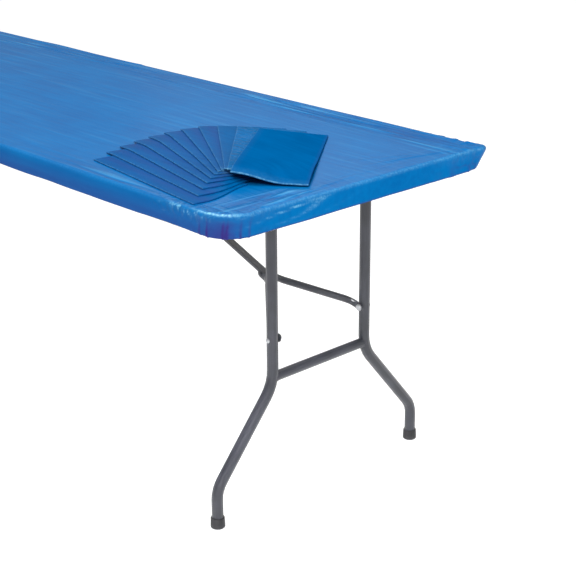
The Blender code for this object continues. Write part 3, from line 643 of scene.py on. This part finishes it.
def profile(reach):
    """Distance out, height and slope of the sheet at a length from the corner's centre outwards."""
    if reach <= LIP:
        return reach, TABLE_TOP, 0.0
    reach -= LIP
    if reach <= SHOULDER:
        bend = reach / EDGE_RADIUS
        return (LIP + EDGE_RADIUS * math.sin(bend), TABLE_TOP - EDGE_RADIUS * (1 - math.cos(bend)), bend)
    reach -= SHOULDER
    if reach <= DROP:
        return CORNER_RADIUS, TABLE_TOP - EDGE_RADIUS - reach, math.pi / 2
    reach -= DROP
    if reach <= ROLL:
        bend = reach / HEM_RADIUS
        return (CORNER_RADIUS - HEM_RADIUS * (1 - math.cos(bend)),
                TABLE_TOP - SKIRT_HEIGHT + HEM_RADIUS * (1 - math.sin(bend)), math.pi / 2 + bend)
    return CORNER_RADIUS - HEM_RADIUS - (reach - ROLL), TABLE_TOP - SKIRT_HEIGHT, math.pi


def ridged(x, y, sharpness):
    """Noise with crests like creases, from 0 to 1."""
    return max(1.0 - abs(noise.noise(Vector((x, y, 3.7)))) * 2.4, 0.0) ** sharpness


def near(value, centre, width):
    """1 at the centre, falling off smoothly over the width."""
    return math.exp(-((value - centre) / width) ** 2)


def cover_point(flat_x, flat_y):
    """Where a point of the flat sheet lies on the table, and how strong each of its masks is."""
    side_x = 1 if flat_x >= 0 else -1
    side_y = 1 if flat_y >= 0 else -1
    out_x = abs(flat_x) - STRAIGHT_X
    out_y = abs(flat_y) - STRAIGHT_Y
    corner = out_x > 0 and out_y > 0
    if corner:
        reach = max(out_x, out_y)
        turn = math.pi / 4 * (out_y / out_x if out_x >= out_y else 2 - out_x / out_y)
        far, height, slope = profile(reach)
        x = side_x * (STRAIGHT_X + far * math.cos(turn))
        y = side_y * (STRAIGHT_Y + far * math.sin(turn))
        way = Vector((side_x * math.cos(turn), side_y * math.sin(turn), 0.0))
        round_edge = CORNER_RADIUS * turn
    elif out_x >= out_y:
        reach = out_x
        far, height, slope = profile(max(reach, 0.0))
        x = side_x * (STRAIGHT_X + (far if reach > 0 else reach))
        y = flat_y
        way = Vector((side_x, 0.0, 0.0))
        round_edge = abs(flat_y) - STRAIGHT_Y
    else:
        reach = out_y
        far, height, slope = profile(max(reach, 0.0))
        x = flat_x
        y = side_y * (STRAIGHT_Y + (far if reach > 0 else reach))
        way = Vector((0.0, side_y, 0.0))
        round_edge = CORNER_RADIUS * math.pi / 2 - (abs(flat_x) - STRAIGHT_X)
    normal = way * math.sin(slope) + Vector((0, 0, math.cos(slope)))
    place = Vector((x, y, height))

    down = smooth((reach - LIP) / (SHOULDER + DROP))
    under = smooth((reach - LIP - SHOULDER - DROP) / ROLL)
    on_top = 1.0 - smooth((reach - LIP) / SHOULDER)
    half_arc = CORNER_RADIUS * math.pi / 4
    from_middle = abs(round_edge - half_arc)
    by_corner = near(max(0.0, from_middle - half_arc), 0.0, CORNER_REACH)
    seed = 17.0 * side_x + 31.0 * side_y
    run = round_edge + seed
    tight_corner = side_x > 0 > side_y

    pleat = ridged(run * 34.0, down * 1.6, 3.0)
    if tight_corner:
        pleat = 0.25 * pleat + sum(near(round_edge - 0.004 * down, line, PLEAT_WIDTH) for line in PLEATS)
    rise = PLEAT_HEIGHT * pleat * down * (0.12 + 0.88 * by_corner)
    gather = 0.5 + 0.5 * math.sin(run * GATHER_BEAT + 3.0 * noise.noise(Vector((run * 30.0, 0.0, 1.0))))
    rise += GATHER_HEIGHT * gather * smooth((reach - LIP - SHOULDER - DROP - ROLL) / 0.010)
    crumple = near(reach, LIP + 0.3 * SHOULDER, 0.020) * by_corner
    rise += CRUMPLE_HEIGHT * crumple * ridged(x * 42.0 + seed, y * 42.0, 2.5)
    ear = EARS[(side_x, side_y)] * near(from_middle, 0.0, EAR_WIDTH) * smooth((reach - LIP + 0.02) / 0.03)
    ear *= 1.0 - 0.7 * min(max((reach - LIP) / (SHOULDER + DROP), 0.0), 1.0)
    place += way * ear

    clear = 1.0
    if on_top > 0 and 0.55 < x < 1.25:
        away = min(outside_packet(index, x, y) for index in range(SPARE_COUNT))
        clear = smooth(away / CLEAR_MARGIN)
    end_gap = COVER_LENGTH / 2 - abs(x)
    side_gap = COVER_WIDTH / 2 - abs(y)
    from_corner = math.hypot(end_gap, side_gap)
    lean = math.atan2(end_gap, max(side_gap, 0.001))
    rays = ridged(lean * 7.5 + seed, from_corner * 2.0, 5.0)
    rise += (RAY_CREASE_HEIGHT * rays * near(from_corner, 0.20, 0.13) * smooth(1.2 - lean / 0.6)
             * on_top * clear)
    long_creases = ridged(x * 2.1 + seed, y * 30.0, 4.0)
    rise += (LONG_CREASE_HEIGHT * long_creases * near(side_gap, 0.03, 0.055) * on_top * clear
             * (0.35 if y < 0 else 1.0))
    end_creases = ridged(y * 3.0 + seed, x * 34.0, 4.0)
    rise += END_CREASE_HEIGHT * end_creases * near(end_gap, 0.02, 0.035) * on_top * clear
    place += normal * rise
    sway = noise.noise(Vector((x * 9.0, y * 9.0, 5.0))) * SWAY_HEIGHT + pleat * by_corner * 0.0008
    place.z += sway * down

    long_side = smooth((round_edge - half_arc) / half_arc + 0.5)
    # Painted shade on the pleats, the long-side skirts, a patch at the tight corner, the hem line and under
    # the rim.
    fold_shade = 0.45 * pleat * down * by_corner + 0.45 * down * long_side
    if tight_corner:
        fold_shade += 0.55 * smooth(down * 2.0) * near(round_edge, 0.062, 0.042) * (0.75 + 0.25 * pleat)
    fold_shade = max(fold_shade, 0.9 * near(reach, LIP + SHOULDER + DROP + ROLL, 0.0035), under * 0.8)
    # Painted highlights: a band along the crease of the top edge, and at the tight corner a crisp line,
    # specks and streaks.
    crest = near(reach, LIP + 0.45 * SHOULDER, 0.0040)
    highlight = crest * (0.05 + 0.16 * (1.0 - long_side))
    loose = 0.04 + 0.5 * crumple + 0.22 * by_corner * down
    if tight_corner:
        highlight = max(highlight, 1.3 * near(reach, LIP + 0.35 * SHOULDER, 0.0022) * near(round_edge, 0.075, 0.050))
        highlight = max(highlight, 1.2 * ridged(run * 90.0, reach * 30.0, 12.0)
                   * near(reach, LIP + 0.8 * SHOULDER, 0.012) * near(round_edge, 0.180, 0.060))
        loose += 0.8 * near(reach, LIP + SHOULDER, 0.022) * near(round_edge, 0.190, 0.080)
        streak = ridged((reach - 0.12 * round_edge) * 64.0, round_edge * 5.0, 6.0)
        highlight = max(highlight, streak * near(reach, LIP + SHOULDER, 0.020) * near(round_edge, -0.10, 0.09))
    glossy = 0.45 + 0.2 * smooth(-y * 3.0) + 0.7 * near(math.hypot(x - 1.1, y + 0.3), 0.0, 0.35)
    sheen = max(on_top * glossy, 0.05, 0.6 * crest, 0.5 * crumple)
    pull_across = near(end_gap, 0.045, 0.040) * (0.15 + 0.85 * near(y, -0.23, 0.12)) * side_x
    pull_along = near(side_gap, 0.05, 0.05) * smooth(y * 20.0) * (0.4 + 0.6 * near(x, 0.85, 0.40))
    pull_along += 0.8 * near(side_gap, 0.02, 0.03) * near(x, 1.0, 0.25) * smooth(-y * 20.0)
    masks = (fold_shade, loose, highlight, sheen, max(pull_across, 0.0) * on_top * clear,
             (0.12 + 0.88 * pull_along) * on_top * clear)
    return place, [min(mask, 1.0) for mask in masks]


bm = bmesh.new()
masks = [bm.verts.layers.float.new(name) for name in MASKS]
bmesh.ops.create_grid(bm, x_segments=MIDDLE_COLUMNS + 2 * EDGE_COLUMNS,
                      y_segments=MIDDLE_ROWS + 2 * EDGE_ROWS, size=1.0)
for vert in bm.verts:
    flat_x = spread_out(vert.co.x, STRAIGHT_X, FINE_MARGIN_X, MIDDLE_COLUMNS, EDGE_COLUMNS)
    flat_y = spread_out(vert.co.y, STRAIGHT_Y, FINE_MARGIN_Y, MIDDLE_ROWS, EDGE_ROWS)
    vert.co, amounts = cover_point(flat_x, flat_y)
    for mask, amount in zip(masks, amounts):
        vert[mask] = amount
cover = add_piece("film_cover", bm, film, "table_top")
wall = cover.modifiers.new("film_wall", "SOLIDIFY")
wall.thickness = FILM_THICKNESS
wall.offset = -1.0
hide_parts("fitted_cover")


# ---------------------------------------------------------------- hem elastic
# A thin elastic cord sewn in the hem. It draws the film in under the rim, so the casing is puckered
# all the way round.
ELASTIC_RADIUS = 0.0015
PUCKER_PITCH = 0.0225
PUCKER_HEIGHT = 0.0003
PUCKER_SWELL = 0.18
CASING_POINTS = 780

# The casing's film is coloured darker than the film on top: painted shade under the rim.
shaded_casing_material = film_material("gathered_hem_film_painted_shade", "#0A5CA0", "#074A86", 0.6, 0.34)
low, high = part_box("hem_elastic")
half_x = high.x - ELASTIC_RADIUS
half_y = high.y - ELASTIC_RADIUS
corner_radius = CORNER_RADIUS - TURNED_IN - ELASTIC_RADIUS
run_x = 2 * (half_x - corner_radius)
run_y = 2 * (half_y - corner_radius)
quarter = corner_radius * math.pi / 2
whole = 2 * (run_x + run_y) + 4 * quarter
knots = []
for index in range(CASING_POINTS):
    at = whole * index / CASING_POINTS
    turn, x, y = 0.0, half_x, -run_y / 2
    for length, bend in ((run_y, 0), (quarter, 1), (run_x, 0), (quarter, 1),
                         (run_y, 0), (quarter, 1), (run_x, 0), (quarter, 1)):
        part = min(at, length)
        at -= part
        if bend:
            arc = part / corner_radius
            x += corner_radius * (math.cos(turn + arc) - math.cos(turn))
            y += corner_radius * (math.sin(turn + arc) - math.sin(turn))
            turn += arc
        else:
            x += part * -math.sin(turn)
            y += part * math.cos(turn)
        if at <= 0:
            break
    pucker = math.sin(2 * math.pi * whole * index / CASING_POINTS / PUCKER_PITCH)
    knots.append(((x, y, (low.z + high.z) / 2 + PUCKER_HEIGHT * pucker), 1.0 + PUCKER_SWELL * pucker))
casing = add_loop("hem_casing", knots, ELASTIC_RADIUS, shaded_casing_material, "table_top")
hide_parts("hem_elastic")


# ---------------------------------------------------------------- fan of folded covers: the packets
# Each packet is one cover folded over and over to a flat stack of film. One long side and the near
# short side are folds; the other sides show the stacked edges. The film is the same as the fitted one.
PACKET_COLUMNS = 18
PACKET_ROWS = 30
PACKET_LAYERS = 6
LAYER_STEP = 0.0004
FOLD_ROUNDING = 0.0010
EDGE_STRIP = 0.003
ON_EDGE = 1e-5
RIPPLE_HEIGHT = 0.00022
TOP_COVER = SPARE_COUNT - 1
CREASED_COVER = TOP_COVER - 1

packet_film = film_material("folded_polyethylene_film", "#005C9A", "#00538E", 0.7, 0.24)
creased_film = film_material("creased_polyethylene_film", "#0A6AAC", "#00588F", 1.0, 0.2)


def packet_height(index, x, y):
    """Height of the underside of one folded cover where it lies on those below it."""
    height = TABLE_TOP + 0.0004
    reach = SAG_REACH * (1.0 + (index / SPARE_COUNT) ** 3)
    for lower in range(index):
        height += SPARE_PITCH * smooth(1.0 - outside_packet(lower, x, y) / reach)
    return height


def add_packet(index):
    """One folded cover: a thin stack of film layers, laid in its place in the fan."""
    bm = bmesh.new()
    shade_layer, loose_layer, highlight_layer, sheen_layer = [bm.verts.layers.float.new(name)
                                                        for name in MASKS[:4]]
    bmesh.ops.create_grid(bm, x_segments=PACKET_COLUMNS, y_segments=PACKET_ROWS, size=0.5,
                          matrix=Matrix.Diagonal((SPARE_WIDTH, SPARE_LENGTH, 1.0, 1.0)))
    bmesh.ops.translate(bm, verts=bm.verts, vec=(SPARE_WIDTH / 2, SPARE_LENGTH / 2, 0.0))
    top = bm.faces[:]
    bmesh.ops.recalc_face_normals(bm, faces=bm.faces)
    raised = bmesh.ops.extrude_face_region(bm, geom=top)["geom"]
    bmesh.ops.translate(bm, verts=[v for v in raised if isinstance(v, bmesh.types.BMVert)],
                        vec=(0, 0, SPARE_THICKNESS))
    for layer in range(1, PACKET_LAYERS):
        everything = bm.verts[:] + bm.edges[:] + bm.faces[:]
        bmesh.ops.bisect_plane(bm, geom=everything, plane_no=(0, 0, 1),
                               plane_co=(0, 0, SPARE_THICKNESS * layer / PACKET_LAYERS), dist=1e-6)
    corner_x, corner_y, cos_turn, sin_turn = FAN[index]
    for vert in bm.verts:
        across, along, up = vert.co
        if abs(along - SPARE_LENGTH / PACKET_ROWS) < ON_EDGE:
            along = EDGE_STRIP
        if abs(across - SPARE_WIDTH / PACKET_COLUMNS) < ON_EDGE:
            across = EDGE_STRIP
        share = up / SPARE_THICKNESS
        layer = round(share * PACKET_LAYERS)
        at_left, at_right = across < ON_EDGE, across > SPARE_WIDTH - ON_EDGE
        at_front, at_back = along < ON_EDGE, along > SPARE_LENGTH - ON_EDGE
        inside = not (at_left or at_right or at_front or at_back)
        tuck = LAYER_STEP * (layer % 2)
        rounding = FOLD_ROUNDING * max(2 * share - 1, 0.0) ** 4
        if at_left:
            across += rounding + 0.3 * tuck
        elif at_right:
            across -= rounding * 0.4 + tuck
        if at_front:
            along += rounding + 0.3 * tuck
        elif at_back:
            along -= rounding * 0.4 + tuck
        front = near(along, 0.0, 0.002)
        along += front_bow(index, across) * max(1.0 - along / BOW_LENGTH, 0.0)
        x = corner_x + across * cos_turn - along * sin_turn
        y = corner_y + across * sin_turn + along * cos_turn
        ripple = noise.noise(Vector((across * 24.0, along * 9.0, 4.1 * index)))
        crease = ridged(across * 40.0 + 9.0 * index, along * 12.0, 4.0)
        if share > 0.9 and inside:
            up += RIPPLE_HEIGHT * ripple + RIPPLE_HEIGHT * crease
        vert.co = (x, y, packet_height(index, x, y) + up)
        # Painted shade along both long edges and, on the lower packets, a violet painted shadow of the
        # packet above; painted highlights on the front edges of the upper packets and along the left edge.
        edge_shade = max(near(across, 0.0, 0.003), near(across, SPARE_WIDTH, 0.003))
        violet = 0.30 * near(across, 0.030, 0.018) if index < BOWED_COVERS else 0.0
        vert[shade_layer] = min(0.15 * edge_shade + violet, 1.0)
        vert[loose_layer] = 0.0 if index == TOP_COVER else 0.9 if index == CREASED_COVER else 0.16
        vert[highlight_layer] = (0.45 * front * smooth((index - 3) / 5)
                            + 0.14 * near(across, 0.0, 0.002)) * (share > 0.3)
        vert[sheen_layer] = 0.0 if index == TOP_COVER else 0.05
    bmesh.ops.recalc_face_normals(bm, faces=bm.faces)
    material = creased_film if index == CREASED_COVER else packet_film
    packet = add_piece(f"spare_cover_{index + 1:02d}", bm, material, f"spare_{index + 1:02d}")
    packet.data.set_sharp_from_angle(angle=math.radians(50))
    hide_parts(f"folded_cover_{index + 1:02d}")


for spare in range(SPARE_COUNT):
    add_packet(spare)
